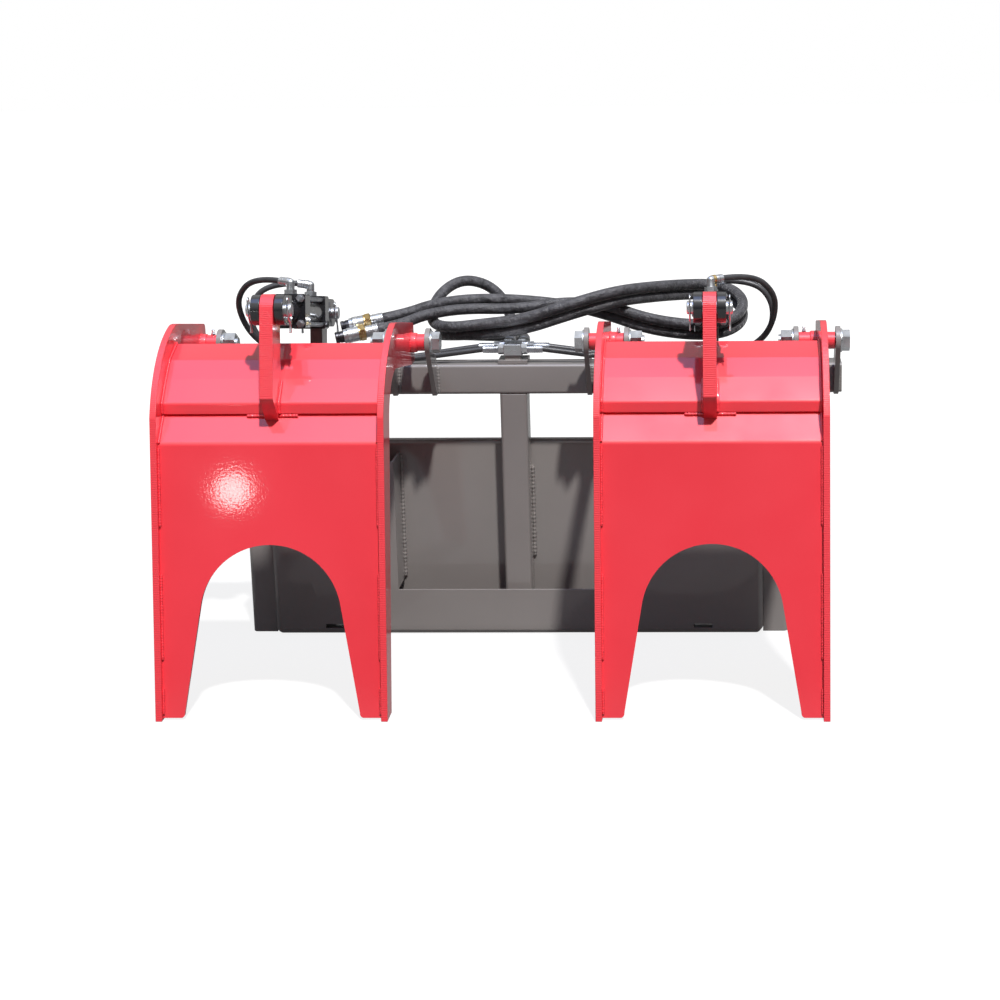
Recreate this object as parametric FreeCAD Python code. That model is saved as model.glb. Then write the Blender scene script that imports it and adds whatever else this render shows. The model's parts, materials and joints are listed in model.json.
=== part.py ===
# Skid steer grapple: two independent jaws on a quick-attach frame, each closed by its own
# tie-rod cylinder. Millimetres. X runs across the machine, -Y is the front, +Z is up. The origin
# is on the rear face of the coupler plate, on the centre line, at the level of the ground.
import FreeCAD, Part
import math
import os

V = FreeCAD.Vector
os.makedirs("parts", exist_ok=True)

# coupler plate and front panel
plate_width = 1150.0
plate_height = 420.0
plate_thickness = 8.0
plate_bend = 6.0
lip_reach = 44.0
lip_drop = 36.0
flange_reach = 40.0
flange_drop = 36.0
slot_spacing = 787.4
slot_length = 40.0
slot_width = 18.0
slot_forward = 3.0
slot_drop = 1.0
gusset_thickness = 8.0
lip_gusset_height = 57.0
flange_gusset_height = 86.0
panel_width = 1044.0
panel_height = 380.0
panel_depth = 91.5
panel_thickness = 5.0
panel_corner = 14.0
panel_chamfer = 14.0
window_width = 508.0
lip_height = 100.0
glint_slot_height = 9.0
wing_setback = 20.0
wing_height = 372.0

# posts and top tube
post_width = 57.15
post_wall = 6.35
post_bottom = 60.0
tube_size = 63.5
tube_wall = 6.35
tube_corner = 7.0
tube_overhang = 8.0
tube_bottom = 518.25
tube_cap = 6.0
cap_inset = 1.0

# jaw hinges
pivot_y = -148.0
pivot_z = 644.0
ear_thickness = 10.0
ear_radius = 29.0
ear_toe = 20.0
ear_rise = 2.0
ear_before_inner_rib = 35.5
ear_after_inner_rib = 46.5
ear_before_outer_rib = 53.7
ear_after_outer_rib = 31.3
pin_radius = 12.7
pin_fit = 0.15
side_gap = 0.5
bushing_wall = 4.6
head_across = 38.0
head_height = 15.5
nut_height = 22.0
washer_radius = 24.0
washer_thickness = 3.5
bolt_spare = 5.0

# jaws
jaw_inner_x = 197.5
jaw_width = 444.2
rib_thickness = 12.7
tine_end_width = 50.0
upper_thickness = 6.35
lower_thickness = 8.0
upper_bend = 3.0
lower_bend = 6.0
lower_recess = 10.0
lower_bottom_z = 4.0
arch_radius = 135.0
arch_top_z = 330.0
arch_slant = math.radians(9.5)
leg_corner = 9.0
leg_corner_in = 0.12
leg_corner_low = 0.25

# jaw side view, as reach ahead of the hinge and height above it
heel_top = (-38.0, 26.0)
heel_round_middle = (-35.0, 33.0)
heel_round_end = (-28.0, 36.5)
crest = (167.0, 71.5)
nose_start = (183.0, 72.5)
nose_middle = (301.0, 19.0)
nose_end = (366.0, -75.0)
tip_reach = 466.5
throat_front = (300.0, -92.0)
throat_middle = (264.0, -35.5)
throat_back = (200.0, -14.5)
belly = (121.0, -26.5)
heel_bottom = (0.0, -47.0)
heel_low_start = (-30.0, -46.0)
heel_low_middle = (-35.5, -43.5)
heel_low_end = (-38.0, -38.0)
upper_plate_path = ((324.0, -76.0), (324.0, -55.5), (284.5, -16.0), (248.0, 15.0), (190.0, 36.0))
band_kink = (364.0, -124.0)
band_top = (306.0, -66.0)
lug_back = ((336.0, -96.0), (322.0, -84.0), (320.0, -70.0), (318.0, -56.0), (287.0, -24.0))

# lug and cylinder pins, given in the same way; the lug hole is an oblong, because the pin drifts
# by this shift while the jaw opens
lug_thickness = 25.4
lug_radius = 30.0
lug_foot = (372.0, -54.0)
lug_heel = (290.0, -21.0)
rod_pin = (297.5, 120.0)
base_pin = (-157.5, 35.0)
slot_shift = (-8.6, 4.2)
slot_clearance = 1.3
pin_length = 87.0
pin_chamfer = 1.5

# cylinder, measured along its axis from the base pin
cylinder_inset = 2.6
clevis_width = 62.0
clevis_gap = 27.4
clevis_radius = 29.0
throat_depth = 38.0
rod_throat_depth = 42.0
rod_clevis_depth = 56.0
cap_start = 62.0
cap_length = 38.0
cap_size = 68.0
cap_round = 4.0
barrel_length = 150.0
barrel_radius = 30.15
bore_radius = 25.4
gland_length = 48.0
gland_boss = 7.0
gland_boss_radius = 22.0
rod_radius = 14.3
rod_fit = 0.15
piston_length = 30.0
piston_fit = 0.3
piston_back = 12.0
tie_rod_radius = 4.75
tie_rod_offset = 25.3
tie_nut_across = 14.3
tie_nut_height = 8.0
tie_rod_end = 3.0
port_hex_across = 22.0
port_hex_height = 9.0
port_stem_radius = 8.0
port_stem_height = 14.0
ferrule_radius = 8.5
ferrule_length = 26.0
ferrule_rise = math.radians(8.0)
front_ferrule_back = math.radians(30.0)
rear_ferrule_back = math.radians(-4.0)

# cylinder bracket on the tube
bracket_front = 30.0
bracket_back = 8.0
bracket_skirt = 56.0
bracket_step = 14.0

# manifold on the tube
stand_width = 62.0
stand_plate = 8.0
stand_neck_width = 33.0
stand_neck = 10.0
stand_front = -68.0
stand_back = -10.0
stand_step = 4.0
manifold_width = 37.0
manifold_back_width = 60.0
manifold_height = 23.0
manifold_front = -66.0
manifold_middle = -38.0
manifold_back = -12.0
front_port_y = -54.0
rear_port_y = -25.0
inlet_x = 15.0
side_hex_across = 19.0
side_hex = 12.0
side_ferrule_radius = 7.5
side_ferrule = 32.0
inlet_hex_across = 24.0
inlet_hex = 12.0
inlet_ferrule_radius = 12.5
inlet_ferrule = 28.0

# hoses
supply_radius = 11.5
cylinder_hose_radius = 6.0
hose_seat = 3.0
run_share = 0.45
coupler_hex_across = 30.0
coupler_hex = 12.0
coupler_ferrule_radius = 13.0
coupler_ferrule = 26.0
coupler_body_radius = 16.0
coupler_body = 34.0
coupler_nose_radius = 12.5
coupler_nose = 18.0

# hose routes, from the manifold outwards; those of the left cylinder mirror these
front_hose_route = (
    (150.0, -55.0, 600.0), (232.0, -58.0, 590.0), (322.0, -60.0, 589.5), (405.0, -64.0, 592.0),
    (475.0, -80.0, 607.0), (524.0, -108.0, 642.0), (546.0, -138.0, 692.0), (545.0, -170.0, 746.0),
    (500.0, -200.5, 789.0))
rear_hose_route = (
    (140.0, -26.0, 603.0), (215.0, -34.0, 591.0), (300.0, -41.0, 589.5), (378.0, -46.0, 592.0),
    (443.0, -52.0, 600.0), (500.0, -64.0, 614.0), (541.0, -71.0, 655.0), (543.0, -72.0, 713.0),
    (503.0, -68.0, 755.0))
supply_front_start = (
    (16.0, 102.0, 608.0), (-34.0, 162.0, 598.0), (-124.0, 160.0, 602.0), (-172.0, 111.0, 612.0),
    (-173.0, 46.0, 624.0), (-127.0, 0.0, 631.0), (-60.0, -1.0, 634.0))
supply_rear_start = (
    (-17.0, 89.0, 612.0), (-24.0, 139.0, 660.0), (-62.0, 150.0, 712.0), (-125.0, 130.0, 733.0),
    (-176.0, 92.0, 702.0), (-186.0, 36.0, 654.0), (-142.0, -18.0, 650.0), (-60.0, -11.0, 658.0))
supply_turn = (
    (20.0, 2.0, 642.0), (120.0, 6.0, 674.0), (212.0, 34.0, 696.0), (290.0, 104.0, 694.0),
    (362.0, 182.0, 686.0), (416.0, 200.0, 683.0), (463.0, 178.5, 673.3), (485.0, 135.7, 653.8),
    (474.0, 89.5, 632.9), (432.0, 61.0, 619.4), (365.0, 60.0, 618.0), (275.0, 60.0, 632.0),
    (190.0, 80.0, 660.0))
supply_beside = (0.0, -9.0, 24.0)
supply_front_end = (
    (100.0, 86.0, 690.0), (0.0, 78.0, 706.0), (-100.0, 62.0, 706.0), (-180.0, 40.0, 692.0),
    (-232.0, 27.0, 674.0), (-282.0, 19.0, 665.0))
supply_rear_end = (
    (100.0, 60.0, 700.0), (0.0, 47.0, 690.0), (-110.0, 28.0, 691.0), (-190.0, 8.0, 676.0),
    (-240.0, -6.0, 656.0), (-288.0, -18.0, 648.0))

# values worked out from the ones above
plate_front = -plate_thickness
panel_front = plate_front - panel_depth
tube_front = plate_front - tube_size
tube_top = tube_bottom + tube_size
bushing_radius = pin_radius + pin_fit + bushing_wall
jaw_outer_x = jaw_inner_x + jaw_width
jaw_centre = jaw_inner_x + jaw_width / 2
cylinder_x = jaw_centre - cylinder_inset
ear_inner_x = jaw_inner_x - ear_before_inner_rib
ear_middle_x = jaw_inner_x + ear_after_inner_rib
ear_outer_x = jaw_outer_x - ear_before_outer_rib
ear_end_x = jaw_outer_x + ear_after_outer_rib
tube_length = 2 * (ear_end_x + ear_thickness / 2 + tube_overhang)
rod_point = (pivot_y - rod_pin[0], pivot_z + rod_pin[1])
base_point = (pivot_y - base_pin[0], pivot_z + base_pin[1])
pin_distance = math.dist(rod_point, base_point)
cylinder_rise = math.atan2(rod_point[1] - base_point[1], base_point[0] - rod_point[0])
barrel_start = cap_start + cap_length
gland_start = barrel_start + barrel_length
gland_end = gland_start + gland_length
manifold_bottom = tube_top + stand_plate + stand_neck
manifold_mid_z = manifold_bottom + manifold_height / 2
ear_pairs = ((ear_inner_x, ear_middle_x), (ear_end_x, ear_outer_x))


def write(name, *solids):
    """Write one node, which may hold several separate solids, to its own file."""
    shape = solids[0] if len(solids) == 1 else Part.makeCompound(list(solids))
    shape.exportStep(f"parts/{name}.step")


def path_edges(place, start, steps):
    """Lines and three-point arcs through flat points; an arc is a pair (middle, end)."""
    edges = []
    here = start
    for step in steps:
        if isinstance(step[0], tuple):
            middle, end = step
            edges.append(Part.Arc(place(*here), place(*middle), place(*end)).toShape())
        else:
            end = step
            edges.append(Part.LineSegment(place(*here), place(*end)).toShape())
        here = end
    return edges, here


def outline_face(place, start, *steps):
    edges, here = path_edges(place, start, steps)
    if math.dist(here, start) > 1e-6:
        edges.append(Part.LineSegment(place(*here), place(*start)).toShape())
    return Part.Face(Part.Wire(edges))


def across(x):
    """Flat points given as (y, z), lying at one x."""
    return lambda y, z: V(x, y, z)


def jaw_side(x):
    """Flat points given as reach ahead of the hinge and height above it, lying at one x."""
    return lambda a, b: V(x, pivot_y - a, pivot_z + b)


def front_view(y):
    """Flat points given as (x, z), lying at one y."""
    return lambda x, z: V(x, y, z)


def extrude_x(face, x_from, x_to):
    return face.extrude(V(x_to - x_from, 0, 0))


def box(x0, x1, y0, y1, z0, z1):
    return Part.makeBox(x1 - x0, y1 - y0, z1 - z0, V(x0, y0, z0))


def rod_x(x0, x1, y, z, radius):
    return Part.makeCylinder(radius, abs(x1 - x0), V(min(x0, x1), y, z), V(1, 0, 0))


def prism(points_across, height, base, direction, turn=0.0):
    """Six-sided bar of a given width across its flats."""
    corner = points_across / 2 / math.cos(math.pi / 6)
    points = []
    for i in range(7):
        angle = math.radians(60 * i + turn)
        points.append(V(corner * math.cos(angle), corner * math.sin(angle), 0))
    bar = Part.Face(Part.makePolygon(points)).extrude(V(0, 0, height))
    bar.Placement = FreeCAD.Placement(base, FreeCAD.Rotation(V(0, 0, 1), direction))
    return bar


def bolt_head(points_across, height, base, direction):
    """Hexagon bar with its outer corners turned off, as on a bolt head or nut."""
    bar = prism(points_across, height, base, direction)
    cone = Part.makeCone(points_across * 0.75, points_across * 0.49, height * 1.5, base, direction)
    return bar.common(cone)


def tangent_point(centre, radius, point, side):
    """Where a line from a point touches a circle, on the side +1 or -1."""
    dx = centre[0] - point[0]
    dy = centre[1] - point[1]
    distance = math.hypot(dx, dy)
    turn = side * math.asin(radius / distance)
    reach = math.sqrt(distance * distance - radius * radius)
    angle = math.atan2(dy, dx) + turn
    return (point[0] + reach * math.cos(angle), point[1] + reach * math.sin(angle))


def corner_radii(points, radii):
    """Flat path through points, each inner corner rounded with its own radius."""
    start = points[0]
    steps = []
    for i in range(1, len(points) - 1):
        before, corner, after = points[i - 1], points[i], points[i + 1]
        d0 = (before[0] - corner[0], before[1] - corner[1])
        d1 = (after[0] - corner[0], after[1] - corner[1])
        l0 = math.hypot(*d0)
        l1 = math.hypot(*d1)
        u0 = (d0[0] / l0, d0[1] / l0)
        u1 = (d1[0] / l1, d1[1] / l1)
        half = math.acos(max(-1.0, min(1.0, u0[0] * u1[0] + u0[1] * u1[1]))) / 2
        cut = radii[i - 1] / math.tan(half)
        bisector = (u0[0] + u1[0], u0[1] + u1[1])
        length = math.hypot(*bisector)
        depth = radii[i - 1] / math.sin(half) - radii[i - 1]
        middle = (corner[0] + bisector[0] / length * depth, corner[1] + bisector[1] / length * depth)
        steps.append((corner[0] + u0[0] * cut, corner[1] + u0[1] * cut))
        steps.append((middle, (corner[0] + u1[0] * cut, corner[1] + u1[1] * cut)))
    steps.append(points[-1])
    return start, steps


def offset_points(points, distance):
    """The same path moved to its left by a distance, with mitred corners."""
    moved = []
    count = len(points)
    for i in range(count):
        normals = []
        if i > 0:
            d = (points[i][0] - points[i - 1][0], points[i][1] - points[i - 1][1])
            length = math.hypot(*d)
            normals.append((-d[1] / length, d[0] / length))
        if i < count - 1:
            d = (points[i + 1][0] - points[i][0], points[i + 1][1] - points[i][1])
            length = math.hypot(*d)
            normals.append((-d[1] / length, d[0] / length))
        n0, n1 = normals[0], normals[-1]
        scale = distance / (1 + n0[0] * n1[0] + n0[1] * n1[1])
        moved.append((points[i][0] + (n0[0] + n1[0]) * scale, points[i][1] + (n0[1] + n1[1]) * scale))
    return moved


def bent_sheet(place, points, thickness, bend):
    """Section of a sheet bent along a path; the sheet lies to the left of the path."""
    inside = offset_points(points, thickness)
    near = []
    far = []
    for i in range(1, len(points) - 1):
        a = (points[i][0] - points[i - 1][0], points[i][1] - points[i - 1][1])
        b = (points[i + 1][0] - points[i][0], points[i + 1][1] - points[i][1])
        left_turn = a[0] * b[1] - a[1] * b[0] > 0
        near.append(bend + thickness if left_turn else bend)
        far.append(bend if left_turn else bend + thickness)
    start, steps = corner_radii(points, near)
    back_start, back_steps = corner_radii(inside[::-1], far[::-1])
    return outline_face(place, start, *steps, back_start, *back_steps)


def square_tube(size_a, size_b, wall, corner, length, place):
    """Hollow square section with rounded corners, along local Z, then put in place."""
    outer = Part.makeBox(size_a, size_b, length, V(-size_a / 2, -size_b / 2, 0))
    inner = Part.makeBox(size_a - 2 * wall, size_b - 2 * wall, length,
                         V(-size_a / 2 + wall, -size_b / 2 + wall, 0))
    uprights = [e for e in outer.Edges if abs(e.BoundBox.ZLength - length) < 1e-6]
    outer = outer.makeFillet(corner, uprights)
    tube = outer.cut(inner)
    tube.Placement = place
    return tube


# coupler plate: one sheet with a hooked top lip and a bottom flange for the lock pins
plate_path = [
    (lip_reach, plate_height - lip_drop),
    (plate_front, plate_height),
    (plate_front, flange_drop + plate_thickness),
    (flange_reach, 0.0),
]
coupler = extrude_x(bent_sheet(across(-plate_width / 2), plate_path, plate_thickness, plate_bend),
                    -plate_width / 2, plate_width / 2)
flange_tilt = math.degrees(math.atan2(flange_drop + plate_thickness, flange_reach - plate_front))
for side in (-1, 1):
    middle = V(side * slot_spacing / 2, (plate_front + flange_reach) / 2 + slot_forward,
               (flange_drop + plate_thickness) / 2 - slot_drop)
    tool = Part.makeBox(slot_length, slot_width, 4 * plate_thickness,
                        V(-slot_length / 2, -slot_width / 2, -2 * plate_thickness))
    tool.Placement = FreeCAD.Placement(middle, FreeCAD.Rotation(V(1, 0, 0), -flange_tilt))
    coupler = coupler.cut(tool)
write("coupler_plate", coupler)

# gussets on the ends of the sheet close the lip and the flange
outside_bend = plate_bend + plate_thickness
lip_tip, (lip_touch, lip_round, flange_touch, flange_round, flange_tip) = corner_radii(
    plate_path, (outside_bend, outside_bend))
lip_inner, _, _, flange_inner = offset_points(plate_path, plate_thickness)
lip_low = plate_height - lip_gusset_height
gussets = []
for side in (-1, 1):
    x_in = side * plate_width / 2
    x_out = x_in + side * gusset_thickness
    lip_web = outline_face(across(x_in), lip_tip, lip_touch, lip_round, (plate_front, lip_low),
                           (0.0, lip_low), lip_inner)
    flange_web = outline_face(across(x_in), (0.0, flange_gusset_height), (plate_front, flange_gusset_height),
                              flange_touch, flange_round, flange_tip, flange_inner)
    for web in (lip_web, flange_web):
        gussets.append(extrude_x(web, x_in, x_out))
write("coupler_gussets", *gussets)

# front panel: a shallow folded box with a window between two side boxes
half_panel = panel_width / 2
half_window = window_width / 2
envelope = box(-half_panel, half_panel, panel_front, plate_front, 0, panel_height)
front_edges = []
for edge in envelope.Edges:
    bb = edge.BoundBox
    upright = bb.ZLength > 1 and abs(bb.YMin - panel_front) < 1e-6
    bottom = bb.XLength > 1 and abs(bb.YMin - panel_front) < 1e-6 and bb.ZMax < 1e-6
    if upright or bottom:
        front_edges.append(edge)
envelope = envelope.makeFillet(panel_corner, front_edges)
hollow = box(-half_panel + panel_thickness, half_panel - panel_thickness,
             panel_front + panel_thickness, plate_front + 1, panel_thickness, panel_height + 1)
panel = envelope.cut(hollow)
panel = panel.cut(box(-half_window, half_window, panel_front - 1, panel_front + panel_thickness + 1,
                      lip_height, panel_height + 1))
for side in (-1, 1):
    x0 = side * half_window
    x1 = side * (half_window + panel_thickness)
    panel = panel.fuse(box(min(x0, x1), max(x0, x1), panel_front, plate_front, lip_height, panel_height))
    corner = outline_face(front_view(panel_front - 1), (side * half_panel, 0.0),
                          (side * (half_panel - panel_chamfer), 0.0), (side * half_panel, panel_chamfer))
    panel = panel.cut(corner.extrude(V(0, panel_depth, 0)))
    slot_x = side * slot_spacing / 2
    panel = panel.cut(box(slot_x - slot_length / 2, slot_x + slot_length / 2, panel_front - 1,
                          panel_front + panel_corner, panel_corner, panel_corner + glint_slot_height))
write("front_panel", panel.removeSplitter())

# wings close the plate ends outside the panel
wings = []
wing_front = panel_front + wing_setback
for side in (-1, 1):
    path = [(side * half_panel, wing_front), (side * plate_width / 2, wing_front),
            (side * plate_width / 2, plate_front)]
    if side < 0:
        path = path[::-1]
    section = bent_sheet(lambda x, y: V(x, y, 0), path, panel_thickness, panel_thickness)
    wings.append(section.extrude(V(0, 0, wing_height)))
write("end_wings", *wings)

# posts carry the top tube on the plate
post_length = tube_bottom - post_bottom
post_y = (plate_front + tube_front) / 2


def post(x):
    place = FreeCAD.Placement(V(x, post_y, post_bottom), FreeCAD.Rotation())
    return square_tube(post_width, tube_size, post_wall, tube_corner, post_length, place)


write("centre_post", post(0.0))
write("side_posts", post(-cylinder_x), post(cylinder_x))

# top tube and its end caps
along_x = FreeCAD.Rotation(V(0, 0, 1), V(1, 0, 0))
hollow_length = tube_length - 2 * tube_cap
tube_place = FreeCAD.Placement(V(-hollow_length / 2, post_y, tube_bottom + tube_size / 2), along_x)
write("top_tube", square_tube(tube_size, tube_size, tube_wall, tube_corner, hollow_length, tube_place))
caps = []
for side in (-1, 1):
    x0 = side * hollow_length / 2
    x1 = side * tube_length / 2
    cap = box(min(x0, x1), max(x0, x1), tube_front + cap_inset, plate_front - cap_inset,
              tube_bottom + cap_inset, tube_top - cap_inset)
    long_edges = [e for e in cap.Edges if abs(e.BoundBox.XLength - tube_cap) < 1e-6]
    caps.append(cap.makeFillet(tube_corner - cap_inset, long_edges))
write("tube_end_caps", *caps)


def ear(x):
    """Hinge ear: a plate from the front face of the tube, round at the hinge pin."""
    x0 = x - ear_thickness / 2
    centre = (pivot_y, pivot_z)
    low = (tube_front - ear_toe, tube_bottom + ear_rise)
    high = (tube_front, tube_top)
    front = tangent_point(centre, ear_radius, low, 1)
    back = tangent_point(centre, ear_radius, high, -1)
    crown = (pivot_y - ear_radius * math.sin(math.pi / 6), pivot_z + ear_radius * math.cos(math.pi / 6))
    heel = (tube_front, tube_bottom + ear_rise)
    face = outline_face(across(x0), heel, low, front, (crown, back), high)
    plate = extrude_x(face, x0, x0 + ear_thickness)
    hole = rod_x(x0 - 1, x0 + ear_thickness + 1, pivot_y, pivot_z, pin_radius + pin_fit)
    return plate.cut(hole)


# hinge ears, bolts, nuts and washers, one pair of ears for each jaw rib
ears = []
bolts = []
nuts = []
washers = []
for side in (-1, 1):
    for head_x, nut_x in ear_pairs:
        ears.append(ear(side * head_x))
        ears.append(ear(side * nut_x))
        inward = 1 if nut_x > head_x else -1
        head_face = side * (head_x - inward * ear_thickness / 2)
        nut_face = side * (nut_x + inward * ear_thickness / 2)
        out = -side * inward
        under_head = head_face + out * washer_thickness
        past_nut = nut_face - out * (washer_thickness + nut_height + bolt_spare)
        shank = rod_x(under_head, past_nut, pivot_y, pivot_z, pin_radius)
        head = bolt_head(head_across, head_height, V(under_head, pivot_y, pivot_z), V(out, 0, 0))
        bolts.append(shank.fuse(head).removeSplitter())
        nut_seat = nut_face - out * washer_thickness
        nut = bolt_head(head_across, nut_height, V(nut_seat, pivot_y, pivot_z), V(-out, 0, 0))
        nuts.append(nut.cut(rod_x(past_nut, nut_face, pivot_y, pivot_z, pin_radius)))
        for seat, way in ((head_face, out), (nut_face, -out)):
            disc = rod_x(seat, seat + way * washer_thickness, pivot_y, pivot_z, washer_radius)
            hole = rod_x(seat, seat + way * washer_thickness, pivot_y, pivot_z, pin_radius + pin_fit)
            washers.append(disc.cut(hole))
write("hinge_ears", *ears)
write("hinge_bolts", *bolts)
write("hinge_nuts", *nuts)
write("hinge_washers", *washers)


def on_cylinder(side, along, up):
    """A place given along the cylinder's axis from its base pin, and above it."""
    c = math.cos(cylinder_rise)
    s = math.sin(cylinder_rise)
    return V(side * cylinder_x, base_point[0] - along * c + up * s,
             base_point[1] + along * s + up * c)


def cylinder_place(side):
    """Local Z runs along the cylinder towards the rod pin, local X across, local Y up."""
    turn = 90.0 - math.degrees(cylinder_rise)
    return FreeCAD.Placement(on_cylinder(side, 0, 0), FreeCAD.Rotation(V(1, 0, 0), turn))


def placed(shape, side):
    moved = shape.copy()
    moved.Placement = cylinder_place(side).multiply(moved.Placement)
    return moved


def clevis(depth, solid_to, direction):
    """Two ears and their bridge, along local Z from the pin; direction is +1 or -1."""
    reach = solid_to * direction
    body = Part.makeCylinder(clevis_radius, clevis_width, V(-clevis_width / 2, 0, 0), V(1, 0, 0))
    block = Part.makeBox(clevis_width, 2 * clevis_radius, abs(reach),
                         V(-clevis_width / 2, -clevis_radius, min(0, reach)))
    throat = Part.makeBox(clevis_gap, 2 * clevis_radius + 2, depth + clevis_radius + 1,
                          V(-clevis_gap / 2, -clevis_radius - 1,
                            -clevis_radius - 1 if direction > 0 else -depth))
    hole = Part.makeCylinder(pin_radius + pin_fit, clevis_width + 2, V(-clevis_width / 2 - 1, 0, 0),
                             V(1, 0, 0))
    return body.fuse(block).cut(throat).cut(hole).removeSplitter()


def square_block(size, start, length):
    block = Part.makeBox(size, size, length, V(-size / 2, -size / 2, start))
    long_edges = [e for e in block.Edges if abs(e.BoundBox.ZLength - length) < 1e-6]
    return block.makeFillet(cap_round, long_edges)


def clevis_pin(side, y, z):
    """Plain pin with chamfered ends."""
    x0 = side * cylinder_x - pin_length / 2
    pin = rod_x(x0, x0 + pin_length, y, z, pin_radius)
    ends = [e for e in pin.Edges if abs(e.BoundBox.XLength) < 1e-6]
    return pin.makeChamfer(pin_chamfer, ends)


# brackets on the tube for the base pins, and the pins themselves
brackets = []
pins = []
for side in (-1, 1):
    x0 = side * cylinder_x - lug_thickness / 2
    front = (plate_front - bracket_front, tube_top)
    rear = (plate_front + bracket_back, tube_top - bracket_skirt + bracket_step)
    t_front = tangent_point(base_point, clevis_radius, front, 1)
    t_rear = tangent_point(base_point, clevis_radius, rear, -1)
    crown = (base_point[0], base_point[1] + clevis_radius)
    face = outline_face(across(x0), (plate_front, tube_top), (plate_front, tube_top - bracket_skirt),
                        (rear[0], rear[1] - bracket_step), rear, t_rear, (crown, t_front), front)
    plate = extrude_x(face, x0, x0 + lug_thickness)
    corner_round = box(x0, x0 + lug_thickness, plate_front - tube_corner, plate_front,
                       tube_top - tube_corner, tube_top)
    hole = rod_x(x0 - 1, x0 + lug_thickness + 1, base_point[0], base_point[1], pin_radius)
    brackets.append(plate.cut(hole).cut(corner_round))
    pins.append(clevis_pin(side, *base_point))
write("cylinder_brackets", *brackets)
write("base_pins", *pins)

# manifold on its stand, in the middle of the tube
stand = box(-stand_width / 2, stand_width / 2, stand_front, stand_back, tube_top, tube_top + stand_plate)
stand = stand.fuse(box(-stand_neck_width / 2, stand_neck_width / 2, manifold_front + stand_step,
                       stand_back - stand_step, tube_top + stand_plate, manifold_bottom))
write("manifold_stand", stand.removeSplitter())
block = box(-manifold_width / 2, manifold_width / 2, manifold_front, manifold_middle,
            manifold_bottom, manifold_bottom + manifold_height)
block = block.fuse(box(-manifold_back_width / 2, manifold_back_width / 2, manifold_middle, manifold_back,
                       manifold_bottom, manifold_bottom + manifold_height)).removeSplitter()
write("manifold_block", block)
fittings = []
manifold_ports = {}
seats = {}
for side in (-1, 1):
    for name, y, width in (("front", front_port_y, manifold_width),
                           ("rear", rear_port_y, manifold_back_width)):
        face_x = side * width / 2
        way = V(side, 0, 0)
        nut = prism(side_hex_across, side_hex, V(face_x, y, manifold_mid_z), way)
        crimp_x = face_x + side * side_hex
        crimp = Part.makeCylinder(side_ferrule_radius, side_ferrule, V(crimp_x, y, manifold_mid_z), way)
        seats[(side, name)] = nut.fuse(crimp).removeSplitter()
        fittings.append(seats[(side, name)])
        manifold_ports[(side, name)] = V(crimp_x + side * side_ferrule, y, manifold_mid_z)
    nut = prism(inlet_hex_across, inlet_hex, V(side * inlet_x, manifold_back, manifold_mid_z), V(0, 1, 0))
    crimp = Part.makeCylinder(inlet_ferrule_radius, inlet_ferrule,
                              V(side * inlet_x, manifold_back + inlet_hex, manifold_mid_z), V(0, 1, 0))
    seats[(side, "inlet")] = nut.fuse(crimp).removeSplitter()
    fittings.append(seats[(side, "inlet")])
write("manifold_fittings", *fittings)


def hose(name, points, radius, fittings):
    """Round tube along straight runs joined by tangent arcs, its ends let into their fittings."""
    first_way = (points[1] - points[0]).normalize()
    last_way = (points[-1] - points[-2]).normalize()
    start = points[0] - first_way * hose_seat
    end = points[-1] + last_way * (hose_seat if len(fittings) > 1 else 0.0)
    edges = []
    radii = []
    here = start
    length = 0.0
    for i in range(1, len(points) - 1):
        into = points[i] - points[i - 1]
        away = points[i + 1] - points[i]
        turn = into.getAngle(away)
        cut = run_share * min(into.Length, away.Length)
        arc_radius = cut / math.tan(turn / 2)
        u_in = V(into).normalize()
        u_out = V(away).normalize()
        first = points[i] - u_in * cut
        last = points[i] + u_out * cut
        bisector = (u_out - u_in).normalize()
        middle = points[i] + bisector * (arc_radius / math.cos(turn / 2) - arc_radius)
        edges.append(Part.LineSegment(here, first).toShape())
        edges.append(Part.Arc(first, middle, last).toShape())
        length += (first - here).Length + arc_radius * turn
        radii.append(arc_radius)
        here = last
    edges.append(Part.LineSegment(here, end).toShape())
    length += (end - here).Length
    ring = Part.Wire(Part.makeCircle(radius, start, first_way))
    tube = Part.Wire(edges).makePipeShell([ring], True, False)
    expected = math.pi * radius * radius * length
    print(f"{name}: length {length:.0f}, least radius {min(radii):.0f} "
          f"({min(radii) / 2 / radius:.1f} diameters), volume ratio {tube.Volume / expected:.4f}")
    for fitting in fittings:
        tube = tube.cut(fitting)
    write(name, max(tube.Solids, key=lambda s: s.Volume))


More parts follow.
